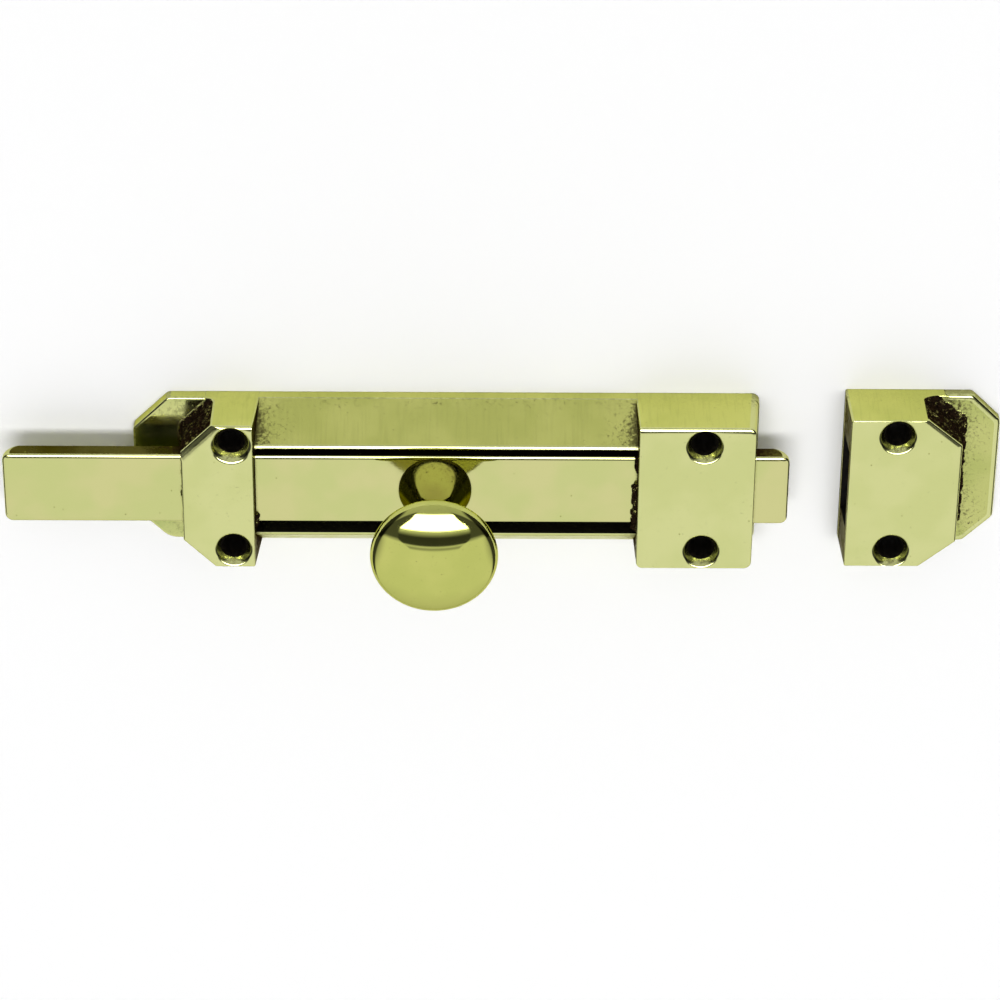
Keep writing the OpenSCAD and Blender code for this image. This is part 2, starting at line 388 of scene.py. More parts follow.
def ring_at(sides, z, spans):
    """The outline of a block at height z: rounded corners, and extra points along as-cast sides."""
    corners = []
    for a, b in zip(sides, sides[1:] + sides[:1]):
        na, nb = a["normal"], b["normal"]
        tip = meeting(a, b, z)
        centre = tip - (na + nb) * (a["corner"] / (1 + na.dot(nb)))
        turn = atan2(na.x * nb.y - na.y * nb.x, na.dot(nb))
        base = atan2(na.y, na.x)
        angles = [base + turn * i / CORNER_STEPS for i in range(CORNER_STEPS + 1)]
        corners.append([centre + a["corner"] * Vector((cos(t), sin(t))) for t in angles])
    points = []
    for i, this in enumerate(sides):
        start, end = corners[i - 1][-1], corners[i][0]
        for k in range(1, spans[i]):
            share = k / spans[i]
            p = start.lerp(end, share)
            if this["cast"]:
                ease = min(share, 1 - share) * spans[i] * CAST_STEP
                p = p + this["normal"] * this["cast"](p, z) * min(ease, 1)
            points.append((p.x, p.y, z))
        points += [(p.x, p.y, z) for p in corners[i]]
    return points


def block(name, sides, levels, materials):
    """A block whose outline at each height is set by its sides."""
    middle = levels[len(levels) // 2]
    tips = [meeting(a, b, middle) for a, b in zip(sides, sides[1:] + sides[:1])]
    spans = [max(2, round((tips[i] - tips[i - 1]).length / CAST_STEP)) if s["cast"] else 1
             for i, s in enumerate(sides)]
    owners = []
    for s, span in zip(sides, spans):
        owners += [s] * span + [s if s["tag"] == AS_CAST else None] * CORNER_STEPS
    # A ring starts at its second point, so the columns of faces do too
    owners = owners[1:] + owners[:1]

    def tag(k, i):
        owner = owners[i]
        height = (levels[k] + levels[k + 1]) / 2
        if not owner or height > owner["tag_top"]:
            return POLISHED
        return owner["tag"] if height > owner["tag_low"] else SPECKLED

    made = loft(name, [ring_at(sides, z, spans) for z in levels], materials, tag)
    # As-cast faces aren't flat, and a cut through them is only clean if they are triangles
    bm = bmesh.new()
    bm.from_mesh(made.data)
    bmesh.ops.triangulate(bm, faces=[f for f in bm.faces if f.material_index == AS_CAST])
    bm.to_mesh(made.data)
    bm.free()
    return made


def levels_between(low, high, step):
    """Even heights from low to high, about step apart."""
    count = max(1, round((high - low) / step))
    return [low + (high - low) * i / count for i in range(count + 1)]


LEVEL_GAP = 0.006       # heights closer than this are merged


def edge_levels(top, edges):
    """Heights that follow the rolling-off of these front edges."""
    levels = [top]
    for drop in sorted(drop for edge in edges for drop, out in roll_profile(edge)):
        if levels[-1] - (top - drop) > LEVEL_GAP:
            levels.append(top - drop)
    return levels[::-1]


def turned(name, outline, x, y, materials, segments=96, tags=None):
    """A solid turned about an upright axis at (x, y); outline holds radius and height from the
    bottom of the axis to its top."""
    bm = bmesh.new()
    rings = []
    for r, z in outline:
        if r < 1e-6:
            rings.append([bm.verts.new((x, y, z))])
            continue
        turns = [2 * pi * i / segments for i in range(segments)]
        rings.append([bm.verts.new((x + r * cos(t), y + r * sin(t), z)) for t in turns])
    for k, (low, high) in enumerate(zip(rings, rings[1:])):
        for i in range(segments):
            j = (i + 1) % segments
            corners = [low[i % len(low)], low[j % len(low)], high[j % len(high)], high[i % len(high)]]
            face = bm.faces.new(list(dict.fromkeys(corners)))
            face.material_index = tags[k] if tags else 0
    bmesh.ops.recalc_face_normals(bm, faces=bm.faces)
    return to_object(name, bm, materials)


def box_cutter(low, high):
    """What a channel takes away: a plain box that leaves dark walls, painted black for the shade in the
    channel.
    """
    outline = [(low[1], low[2]), (high[1], low[2]), (high[1], high[2]), (low[1], high[2])]
    rings = [[(x, y, z) for y, z in outline] for x in (low[0], high[0])]
    made = loft("box_cutter", rings, casting_materials)
    for face in made.data.polygons:
        face.material_index = DARK
    return made


def bore_cutter(x, y, r, low, high, materials, segments):
    """What a plain hole takes away: a cylinder that leaves dark walls, painted black for the shade in the
    hole.
    """
    outline = [(0, low), (r, low), (r, high), (0, high)]
    return turned("bore_cutter", outline, x, y, materials, segments, [DARK] * 3)


def screw_cutter(x, y, top, lip_r=LIP_R):
    """What a countersunk hole takes away: bore, cone and a lip softened by polishing. The bore and
    the cone's inner part are painted black: painted shade, with dirt.
    """
    dish_r = CONE_R + lip_r * sin(radians(CONE_TILT))
    lip = arc(dish_r, top - lip_r, lip_r, 90 + CONE_TILT, 90, 10)
    cone_x, cone_z = lip[0]
    steep = tan(radians(CONE_TILT))
    outline = [(0, -1), (BORE_R, -1), (BORE_R, cone_z - (cone_x - BORE_R) * steep),
               (SHADE_AND_DIRT_R, cone_z - (cone_x - SHADE_AND_DIRT_R) * steep)] + lip
    outline += [(dish_r, top + 1), (0, top + 1)]
    tags = [DARK, DARK, DARK] + [POLISHED] * (len(lip) + 2)
    return turned("screw_cutter", outline, x, y, casting_materials, tags=tags)


# ----- as-cast skin

def lumps(p, z, size):
    """Fractal noise on a wall, from about -1 to 1."""
    return noise.fractal(Vector((p.x, p.y, z)) / size + NOISE_SEED, 0.6, 2.1, 4)


def cast_skin(low, high, height):
    """The lift of an as-cast wall between two heights; it fades out at its polished top band."""
    def lift(p, z):
        fade = min(max((high - z) / 0.8, 0), 1) * min(max((z - low) / 0.2, 0), 1)
        return fade * height * (lumps(p, z, 1.9) + 0.35 * lumps(p, z, 0.55))
    return lift


# ----- materials

def new_material(name):
    """An empty node material, its tree and the place on the object."""
    material = bpy.data.materials.new(name)
    material.use_nodes = True
    tree = material.node_tree
    tree.nodes.clear()
    return material, tree, node(tree, "TexCoord").outputs["Object"]


def node(tree, kind, inputs=None, **settings):
    """Adds a shader node. inputs maps a socket's name or number to a value or an output socket."""
    made = tree.nodes.new("ShaderNode" + kind)
    for key, value in settings.items():
        setattr(made, key, value)
    for key, value in (inputs or {}).items():
        if isinstance(value, bpy.types.NodeSocket):
            tree.links.new(value, made.inputs[key])
        else:
            made.inputs[key].default_value = value
    return made


def maths(tree, operation, a, b=0.0, clamp=False):
    """The output of a Math node."""
    return node(tree, "Math", {0: a, 1: b}, operation=operation, use_clamp=clamp).outputs[0]


def ramp(tree, value, low, high, to_low=0.0, to_high=1.0):
    """Maps value from low..high to to_low..to_high, smoothly and clamped."""
    return node(tree, "MapRange", {"Value": value, "From Min": low, "From Max": high,
                                   "To Min": to_low, "To Max": to_high},
                interpolation_type="SMOOTHSTEP").outputs[0]


def mixed(tree, share, a, b):
    """A colour between a and b."""
    return node(tree, "Mix", {"Factor": share, 6: a, 7: b}, data_type="RGBA").outputs[2]


def spots(tree, place, scale, detail=4.0, roughness=0.55):
    """Fractal noise at this many features per metre."""
    return node(tree, "TexNoise", {"Vector": place, "Scale": scale, "Detail": detail,
                                   "Roughness": roughness}).outputs["Fac"]


def stretched(tree, place, scale):
    """The place, scaled along each axis, for grain and scratches."""
    return node(tree, "Mapping", {"Vector": place, "Scale": scale}).outputs[0]


def bump(tree, height, distance, normal=None):
    """A normal raised by height."""
    inputs = {"Height": height, "Strength": 1.0, "Distance": distance}
    if normal:
        inputs["Normal"] = normal
    return node(tree, "Bump", inputs).outputs[0]


PALE = (0.66, 0.68, 0.30, 1)       # brass as polished
GREEN = (0.62, 0.65, 0.27, 1)      # the greener drifts in it
DEEP = (0.40, 0.42, 0.11, 1)       # tarnished brass
# OLIVE is painted shade with dirt in corners, UMBER painted shade with patina under and behind things and,
# with SOOT, the as-cast scale; SOOT is also painted shade deep in channels and bores
OLIVE = (0.15, 0.14, 0.035, 1)
SOOT = (0.012, 0.009, 0.006, 1)
UMBER = (0.040, 0.022, 0.012, 1)
EDGE_TINT = (0.80, 0.78, 0.42, 1)
DULL_EDGE = (0.30, 0.28, 0.16, 1)


def brass(name, tone=PALE, drift=GREEN, roughness=0.07, grain=None, grain_lift=0.0,
          wave=1.0, corner_shade_and_dirt_level=0.5, pits=1.0, streaks=0.0, shade=1.0, edge=EDGE_TINT):
    """Polished brass: slow colour drifts, hand-polished waviness, pits, hairline scratches, painted
    shade with dirt in the corners, and painted shade with patina under and behind things, where
    the shape is close and hollow. grain scales the brush marks along each axis, streaks is how much
    they show in the colour, shade how much painted shade and patina go under and behind things,
    and edge the tint at grazing angles."""
    material, tree, place = new_material(name)
    drifts = ramp(tree, spots(tree, place, 90, 2), 0.35, 0.65)
    colour = mixed(tree, drifts, tone, drift)

    lines = stretched(tree, place, grain or (200, 1300, 1300))
    hair = spots(tree, lines, 1.0, 1, 0.4)
    if streaks:
        marks = ramp(tree, hair, 0.50, 0.72, 0.0, streaks)
        colour = mixed(tree, marks, colour, DEEP)

    # Painted shade in the corners, from a short occlusion test, with dirt in uneven patches
    patchy = spots(tree, place, 1400, 5, 0.7)
    near = node(tree, "AmbientOcclusion", {"Distance": 0.0012}, samples=8).outputs["AO"]
    corner_shade_and_dirt = ramp(tree, maths(tree, "SUBTRACT", 1.0, near), 0.2, 0.7)
    corner_shade_and_dirt = maths(tree, "MULTIPLY", corner_shade_and_dirt, ramp(tree, patchy, 0.3, 0.6, 0.35, 1.0))
    corner_shade_and_dirt = maths(tree, "MULTIPLY", corner_shade_and_dirt, corner_shade_and_dirt_level, clamp=True)
    colour = mixed(tree, corner_shade_and_dirt, colour, OLIVE)

    # Painted shade under and behind things, from a wider occlusion test, with patina in uneven patches where
    # no buffing wheel reaches
    far = node(tree, "AmbientOcclusion", {"Distance": 0.009}, samples=8).outputs["AO"]
    shade_and_patina = maths(tree, "ADD", maths(tree, "SUBTRACT", 1.0, far), maths(tree, "MULTIPLY", patchy, 1.4))
    shade_and_patina = maths(tree, "MULTIPLY", ramp(tree, shade_and_patina, 0.86, 1.10), shade, clamp=True)
    colour = mixed(tree, shade_and_patina, colour, UMBER)

    # Pits and specks
    cells = node(tree, "TexVoronoi", {"Vector": place, "Scale": 420.0}, feature="F1")
    speck = ramp(tree, cells.outputs["Distance"], 0.05, 0.10, 1.0, 0.0)
    chosen = ramp(tree, node(tree, "SeparateColor", {0: cells.outputs["Color"]}).outputs[0], 0.62, 0.72)
    speck = maths(tree, "MULTIPLY", maths(tree, "MULTIPLY", speck, chosen), pits)
    colour = mixed(tree, maths(tree, "MULTIPLY", speck, 0.6), colour, DEEP)

    # Relief: waves left by polishing, hairlines, pits
    waves = spots(tree, place, 55, 1, 0.4)
    normal = bump(tree, waves, 0.00006 * wave)
    normal = bump(tree, hair, 0.0000012 + grain_lift, normal)
    normal = bump(tree, maths(tree, "SUBTRACT", 1.0, speck), 0.00002, normal)

    worn = ramp(tree, spots(tree, place, 260, 4, 0.6), 0.35, 0.7, roughness * 0.8, roughness * 1.5)
    rough = maths(tree, "ADD", worn, maths(tree, "MULTIPLY", maths(tree, "MAXIMUM", corner_shade_and_dirt, shade_and_patina), 0.35))
    shader = node(tree, "BsdfPrincipled", {"Base Color": colour, "Metallic": 1.0, "Roughness": rough,
                                           "Specular Tint": edge, "Normal": normal})
    node(tree, "OutputMaterial", {0: shader.outputs[0]})
    return material


def as_cast(name):
    """The unpolished skin of the casting: dark scale, with metal glinting through on the high spots."""
    material, tree, place = new_material(name)
    coarse = spots(tree, place, 700, 5, 0.65)
    fine = spots(tree, place, 2600, 4, 0.7)
    bare = ramp(tree, maths(tree, "MULTIPLY", coarse, fine), 0.29, 0.37)
    scale = mixed(tree, ramp(tree, fine, 0.35, 0.65), SOOT, UMBER)
    colour = mixed(tree, bare, scale, (0.46, 0.44, 0.14, 1))
    normal = bump(tree, coarse, 0.0009)
    normal = bump(tree, fine, 0.0002, normal)
    shader = node(tree, "BsdfPrincipled", {
        "Base Color": colour, "Metallic": 1.0,
        "Roughness": ramp(tree, bare, 0.0, 1.0, 0.55, 0.25), "Specular Tint": DULL_EDGE,
        "Normal": normal})
    node(tree, "OutputMaterial", {0: shader.outputs[0]})
    return material


def shade_and_dirt_black(name):
    """Bores and channels painted near-black: painted shade deep inside them, with old polish and dirt."""
    material, tree, place = new_material(name)
    grain = spots(tree, place, 1500, 4, 0.6)
    colour = mixed(tree, ramp(tree, grain, 0.4, 0.7), (0.002, 0.0015, 0.001, 1), SOOT)
    shader = node(tree, "BsdfPrincipled", {
        "Base Color": colour, "Metallic": 0.0, "Roughness": ramp(tree, grain, 0.3, 0.7, 0.45, 0.75),
        "Specular IOR Level": 0.12, "Normal": bump(tree, grain, 0.00008)})
    node(tree, "OutputMaterial", {0: shader.outputs[0]})
    return material


# shade sets how much painted shade, with patina, each finish takes under and behind things
polished = brass("cast_brass_polished", roughness=0.09, corner_shade_and_dirt_level=0.8, shade=0.5)
brushed = brass("cast_brass_brushed", tone=(0.66, 0.68, 0.20, 1), drift=(0.59, 0.62, 0.17, 1), shade=0.08,
                roughness=0.15, grain=(2200, 160, 160), grain_lift=0.000004, streaks=0.18, corner_shade_and_dirt_level=0.8)
slope_brass = brass("cast_brass_slope", tone=(0.66, 0.68, 0.20, 1), drift=(0.58, 0.61, 0.165, 1), shade=0.8,
                    roughness=0.15, grain=(2000, 130, 130), grain_lift=0.000004, streaks=0.14, corner_shade_and_dirt_level=0.9)
scaled = as_cast("cast_brass_as_cast")
dark = shade_and_dirt_black("shade_and_dirt_black_brass")
# A dark copy of the brass for the faces turned into the gaps: painted shade, with patina
shaded_patina_brass = brass("cast_brass_shaded_patina", tone=(0.20, 0.19, 0.06, 1), drift=(0.11, 0.10, 0.03, 1),
                  roughness=0.24, corner_shade_and_dirt_level=1.0, grain=(300, 900, 900), grain_lift=0.000003, edge=DULL_EDGE)
wavy = brass("cast_brass_wavy", tone=(0.60, 0.62, 0.24, 1), drift=(0.46, 0.52, 0.18, 1), roughness=0.09,
             wave=5.0, corner_shade_and_dirt_level=1.0, shade=0.3)
speckled = brass("cast_brass_speckled", tone=(0.55, 0.57, 0.20, 1), drift=(0.47, 0.51, 0.16, 1),
                 roughness=0.12, wave=2.0, corner_shade_and_dirt_level=1.0, shade=0.95)
casting_materials = [polished, scaled, brushed, dark, shaded_patina_brass, wavy, speckled, slope_brass]
bar_brass = brass("bar_brass", tone=(0.64, 0.63, 0.28, 1), drift=(0.59, 0.62, 0.25, 1), roughness=0.06,
                  grain=(160, 2800, 2800), corner_shade_and_dirt_level=0.8, shade=0.0)
# A dark copy of the bar's brass for its long sides down in the channel: painted shade
shaded_bar_side = brass("bar_side_shaded_brass", tone=(0.13, 0.12, 0.04, 1), drift=(0.08, 0.07, 0.02, 1),
                 roughness=0.22, corner_shade_and_dirt_level=1.0, grain=(300, 900, 900), grain_lift=0.000003, edge=DULL_EDGE)
# The first four slots stand for the same on the bar as on the castings
bar_materials = [bar_brass, scaled, shaded_bar_side, dark]
knob_brass = brass("knob_brass", tone=(0.57, 0.585, 0.165, 1), drift=(0.52, 0.55, 0.145, 1),
                   roughness=0.035, wave=0.5, corner_shade_and_dirt_level=0.9, pits=0.4, shade=0.5)
# A darker copy of the knob's brass for its neck under the head: painted shade
shaded_neck_brass = brass("knob_neck_shaded_brass", tone=(0.39, 0.39, 0.065, 1), drift=(0.29, 0.27, 0.05, 1),
                   roughness=0.10, wave=0.5, corner_shade_and_dirt_level=1.0, pits=0.6, shade=0.6, grain=(1200, 1200, 4000),
                   grain_lift=0.000001, edge=DULL_EDGE)
turned_brass = brass("turned_brass", tone=(0.50, 0.42, 0.16, 1), drift=(0.46, 0.40, 0.15, 1),
                     roughness=0.22, corner_shade_and_dirt_level=0.9)
spring_bronze = brass("spring_bronze", tone=(0.46, 0.29, 0.13, 1), drift=(0.40, 0.26, 0.12, 1),
                      roughness=0.25, corner_shade_and_dirt_level=0.9)


# ----- body casting

def give_front(made, top, tag):
    """Gives a plate's front face a material of its own."""
    for face in made.data.polygons:
        if face.normal.z > 0.99 and face.center.z > top - 0.01:
            face.material_index = tag
    return made


def plate():
    """The base plate with its thin ear; the ear's lower corner was ground rounder by hand."""
    inset = rounded(upright, PLATE_T, PLATE_ROUND)
    foot = roll_foot(PLATE_T, PLATE_ROUND)
    w = HALF_W - PLATE_INSET
    sides = [
        side(body_high.x - PLATE_INSET, 0, 0, inset, 1.5),
        side(0, w, 90, inset, 1.4, BRUSHED, foot),
        side(body_low.x, w - EAR_CUT, 135, inset, 1.4, BRUSHED, foot),
        side(body_low.x, 0, 180, inset, 0.8),
        side(body_low.x, -w + EAR_CUT - 0.6, 225, inset, 4.0),
        side(0, -w, 270, inset, 1.5),
    ]
    made = block("plate", sides, [0] + edge_levels(PLATE_T, [PLATE_ROUND]), casting_materials)
    return give_front(made, PLATE_T, WAVY)


def left_guide():
    """The guide next to the ear. Its outer walls keep their as-cast skin, and flare at the foot."""
    flat = drafted(SIDE_DRAFT, DEPTH)
    cast_top = roll_foot(DEPTH, CUT_ROUND) - 0.1
    rough = (AS_CAST, cast_top, cast_skin(PLATE_T - SKIN_DEPTH, cast_top, SKIN_LIFT), PLATE_T + 0.1)
    outer = flared(rounded(upright, DEPTH, WALL_ROUND), PLATE_T, GUIDE_SCOOP)
    cut = flared(rounded(upright, DEPTH, CUT_ROUND), PLATE_T, GUIDE_SCOOP)
    top = rounded(flat, DEPTH, EDGE_ROUND)
    bottom = rounded(flat, DEPTH, FINE_ROUND)
    inner = rounded(drafted(END_DRAFT, DEPTH), DEPTH, FINE_ROUND)
    sides = [
        # The inner side is dark brass: painted shade, with patina
        side(left_guide_end, 0, 0, inner, 0.25, SHADED_PATINA, roll_foot(DEPTH, FINE_ROUND)),
        side(0, HALF_W, 90, top, 0.6, BRUSHED, roll_foot(DEPTH, EDGE_ROUND)),
        side(left_guide_x, HALF_W - GUIDE_CUT, 135, cut, 0.5, *rough),
        side(left_guide_x, 0, 180, outer, 0.5, *rough),
        side(left_guide_x, -HALF_W + GUIDE_CUT, 225, outer, 0.3, *rough),
        side(0, -HALF_W, 270, bottom, 0.4),
    ]
    levels = [0] + levels_between(PLATE_T - SKIN_DEPTH, cast_top, CAST_STEP)
    levels += edge_levels(DEPTH, [FINE_ROUND, WALL_ROUND, EDGE_ROUND, CUT_ROUND])
    return block("left_guide", sides, levels, casting_materials)


def right_guide():
    """The long guide at the plain end."""
    flat = drafted(SIDE_DRAFT, DEPTH)
    top = rounded(flat, DEPTH, EDGE_ROUND)
    bottom = rounded(flat, DEPTH, FINE_ROUND)
    inner = rounded(drafted(INNER_DRAFT, DEPTH), DEPTH, FINE_ROUND)
    outer = rounded(drafted(END_DRAFT, DEPTH), DEPTH, FINE_ROUND)
    sides = [
        side(body_high.x, 0, 0, outer, 1.5),
        side(0, HALF_W, 90, top, 0.3, BRUSHED, roll_foot(DEPTH, EDGE_ROUND)),
        # The inner side is dark brass: painted shade, with patina
        side(right_guide_x - INNER_DRAFT, 0, 180, inner, 1.2, SHADED_PATINA, roll_foot(DEPTH, FINE_ROUND)),
        side(0, -HALF_W, 270, bottom, 1.5),
    ]
    levels = [0] + edge_levels(DEPTH, [FINE_ROUND, EDGE_ROUND])
    return block("right_guide", sides, levels, casting_materials)


def rail(mirror):
    """One rail: a crowned land that leans outwards, a wide slope outside, and a dark inner wall, painted
    black for the shade of the channel.
    """
    foot = HALF_W - PLATE_INSET - 0.02
    slope = degrees(atan2(foot - RAIL_GAP - RAIL_LAND, RAIL_Z - PLATE_T))
    slope_tilt = 90 - slope
    start, end = (radians(tilt) for tilt in LAND_TILTS)
    crown_r = RAIL_LAND / (sin(end) - sin(start))
    crown_y = RAIL_GAP - crown_r * sin(start)
    crown_z = RAIL_Z - crown_r * cos(start)
    land = arc(crown_y, crown_z, crown_r, 90 - LAND_TILTS[0], 90 - LAND_TILTS[1], 8)
    corner_y, corner_z = land[-1]
    bend_y = corner_y - RAIL_ROUND * sin(end)
    bend_z = corner_z - RAIL_ROUND * cos(end)
    bend = arc(bend_y, bend_z, RAIL_ROUND, 90 - LAND_TILTS[1], 90 - slope_tilt, 4)[1:]
    outline = [(RAIL_GAP, PLATE_T - 0.3)] + land + bend + [(foot, PLATE_T), (foot, PLATE_T - 0.3)]
    tags = [DARK] + [POLISHED] * (len(land) + len(bend) - 1) + [SLOPE, POLISHED, POLISHED]
    rings = [[(x, y * mirror, z) for y, z in outline] for x in (left_guide_end - 1.8, right_guide_x + 0.5)]
    return loft("rail", rings, casting_materials, tags)


def cast_lip(x, way, y0, y1, reach, seed):
    """A ragged lip that the casting left over a mouth of a guide's tunnel, at x; it reaches out
    along X in the direction way."""
    steps = max(4, round((y1 - y0) / 0.2))
    rings = []
    for i in range(steps + 1):
        y = y0 + (y1 - y0) * i / steps
        ends = min(i, steps - i) / 2
        wobble = noise.fractal(Vector((seed, y / 0.9, 3.1)), 0.7, 2.0, 4)
        out = max(0.15, min(reach, reach * (0.78 + 0.30 * wobble) * min(1, 0.55 + 0.3 * ends)))
        rise = 0.62 + 0.14 * noise.fractal(Vector((seed, y / 0.7, 8.7)), 0.7, 2.0, 3)
        root, tip = x - way * 0.6, x + way * out
        rings.append([(root, y, tunnel_high), (tip, y, tunnel_high), (tip, y, tunnel_high + rise * 0.5),
                      (tip - way * out * 0.3, y, tunnel_high + rise), (root, y, tunnel_high + rise * 1.25)])
    return loft("lip", rings, casting_materials, [AS_CAST] * 5)


def body_casting():
    """The whole body: plate, rails and guides joined, then cut for the bar, screws and spring."""
    made = plate()
    for part in (left_guide(), right_guide(), rail(1), rail(-1)):
        combine(made, part, "UNION")
    tunnel = box_cutter((body_low.x - 1, -tunnel_half_w, tunnel_low),
                        (body_high.x + 1, tunnel_half_w, tunnel_high))
    combine(made, tunnel, "DIFFERENCE")
    for lip in RIGHT_LIPS:
        combine(made, cast_lip(right_guide_x, -1, *lip), "UNION")
    left_mouth = left_guide_end - END_DRAFT * tunnel_high / DEPTH
    combine(made, cast_lip(left_mouth, 1, *LEFT_LIP), "UNION")
    for sx in (-1, 1):
        for sy in (-1, 1):
            x = body_screws.x + sx * body_screw_dims["spacing_x_mm"] / 2
            y = body_screws.y + sy * body_screw_dims["spacing_y_mm"] / 2
            lip_r = WORN_LIP_R if sx < 0 < sy else LIP_R
            combine(made, screw_cutter(x, y, DEPTH, lip_r), "DIFFERENCE")
    spring_middle = (leaf_low.y + leaf_high.y) / 2
    recess = box_cutter((leaf_low.x - RECESS_ROOM, spring_middle - RECESS_HALF_W, leaf_low.z),
                        (leaf_high.x + RECESS_ROOM, spring_middle + RECESS_HALF_W, tunnel_low + 0.5))
    combine(made, recess, "DIFFERENCE")
    rivet_x = (rivet_low.x + rivet_high.x) / 2
    bore = bore_cutter(rivet_x, spring_middle, SHANK_R, -1, leaf_low.z + 1, casting_materials, 48)
    combine(made, bore, "DIFFERENCE")
    finish_piece(made, "body_shell", "body", "cast_brass", "body_casting")


# ----- keep

def keep_plate():
    """The keep's base plate with its ear, rounded over along its front edge."""
    inset = rounded(upright, KEEP_PLATE_T, EAR_ROUND)
    w = keep_half_w - PLATE_INSET
    sides = [
        side(keep_high.x, keep_y, 0, inset, 1.6),
        side(keep_high.x, keep_y + w - KEEP_EAR_CUT, 45, inset, 1.6),
        side(0, keep_y + w, 90, inset, 0.6),
        side(keep_low.x + PLATE_INSET, keep_y, 180, inset, 0.6),
        side(0, keep_y - w, 270, inset, 1.6),
        side(keep_high.x, keep_y - w + KEEP_EAR_CUT, 315, inset, 1.6),
    ]
    made = block("keep_plate", sides, [0] + edge_levels(KEEP_PLATE_T, [EAR_ROUND]), casting_materials)
    return give_front(made, KEEP_PLATE_T, SPECKLED)


def keep_block():
    """The keep's block. The walls next to its ear keep their as-cast skin over a wide scooped foot."""
    flat = drafted(SIDE_DRAFT, keep_depth)
    plain = rounded(flat, keep_depth, FINE_ROUND)
    foot = roll_foot(keep_depth, FINE_ROUND)
    mouth = rounded(drafted(KEEP_DRAFT, keep_depth), keep_depth, FINE_ROUND)
    wall = flared(rounded(upright, keep_depth, WALL_ROUND), KEEP_PLATE_T, KEEP_SCOOP)
    cast_top = keep_depth - 1.0
    skin = cast_skin(KEEP_PLATE_T - SKIN_DEPTH, cast_top, KEEP_SKIN_LIFT)
    rough = (AS_CAST, cast_top, skin, KEEP_PLATE_T + 0.1)
    right = keep_low.x + KEEP_BLOCK_LEN
    cut = degrees(atan2(KEEP_CUT_X, KEEP_CUT_Y))
    sides = [
        side(right, keep_y, 0, wall, 0.6, *rough),
        side(right, keep_y + keep_half_w - KEEP_CUT_Y, cut, wall, 0.6, *rough),
        side(0, keep_y + keep_half_w, 90, plain, 0.4, BRUSHED, foot),
        # The mouth's face is dark brass: painted shade, with patina
        side(keep_low.x, keep_y, 180, mouth, 0.4, SHADED_PATINA, foot),
        side(0, keep_y - keep_half_w, 270, plain, 0.4),
        side(right, keep_y - keep_half_w + KEEP_CUT_Y, -cut, wall, 0.6, *rough),
    ]
    levels = [0] + levels_between(KEEP_PLATE_T - SKIN_DEPTH, keep_depth - 0.7, CAST_STEP)
    levels += edge_levels(keep_depth, [FINE_ROUND, WALL_ROUND])
    return block("keep_block", sides, levels, casting_materials)


def keep_casting():
    """The keep: plate and block joined, then cut for the bar's mouth and two screws."""
    made = keep_plate()
    combine(made, keep_block(), "UNION")
    wall_x = keep_low.x + KEEP_BLOCK_LEN
    scoop_top = KEEP_PLATE_T + KEEP_SCOOP[1] + SCOOP_MARGIN
    # The way out next to the ear is cut above the scoop only
    for low_x, high_x, low_z in ((keep_low.x - 1, wall_x - 0.3, KEEP_PLATE_T + MOUTH_SILL),
                                 (wall_x - 0.8, keep_high.x + 1, scoop_top)):
        mouth = box_cutter((low_x, keep_y - MOUTH_HALF_W, low_z), (high_x, keep_y + MOUTH_HALF_W, MOUTH_TOP))
        combine(made, mouth, "DIFFERENCE")
    for sy in (-1, 1):
        y = keep_screws.y + sy * keep_screw_dims["spacing_y_mm"] / 2
        combine(made, screw_cutter(keep_screws.x, y, keep_depth), "DIFFERENCE")
    finish_piece(made, "keep_shell", "keep", "cast_brass", "keep_casting")


# ----- bar and knob

def bolt_bar():
    """The flat bar, with rounded edges, lead-in slopes behind its ends and the stud's hole."""
    thick = bar_high.z - bar_low.z
    lead_high = bar_low.z + thick * LEAD_SHARE

    def lead(z):
        down = min(max(0, (lead_high - z) / (lead_high - bar_low.z)), 1)
        return LEAD_LEN * (1 - sqrt(1 - 0.9 * down * down))

    end = rounded(lead, bar_high.z, BAR_END_ROUND)
    long_side = rounded(upright, bar_high.z, BAR_ROUND)
    foot = roll_foot(bar_high.z, BAR_ROUND)
    sides = [
        side(bar_high.x, 0, 0, end, BAR_CORNER),
        # The long sides take the bar's dark brass: painted shade in the channel
        side(0, bar_high.y, 90, long_side, BAR_CORNER, BRUSHED, foot),
        side(bar_low.x, 0, 180, end, BAR_CORNER),
        side(0, bar_low.y, 270, long_side, BAR_CORNER, BRUSHED, foot),
    ]
    levels = levels_between(bar_low.z, lead_high, 0.3) + edge_levels(bar_high.z, [BAR_ROUND, BAR_END_ROUND])
    made = block("bar", sides, levels, bar_materials)
    hole = bore_cutter(knob_x, 0, fit_r + 0.05, bar_low.z - 1, bar_high.z + 1, bar_materials, 64)
    combine(made, hole, "DIFFERENCE")
    finish_piece(made, "slide_bar", "bolt", "bar_brass", "bolt_bar")


KNOB_RIM_R = 1.9        # radius of the roll around the knob's rim
KNOB_RISE = 4.2         # height of the crown above the middle of that roll
NECK_R = 3.3
FLANGE_R = 7.3
FLANGE_T = 0.6
FOOT_SLOPE = 63         # slope of the cone above the flange, in degrees
FOOT_R = 8              # radius where that cone runs into the neck
BACK_SLOPE = 15         # slope of the knob's back, in degrees
FLARE_R = 4.2           # radius where the neck runs into the back


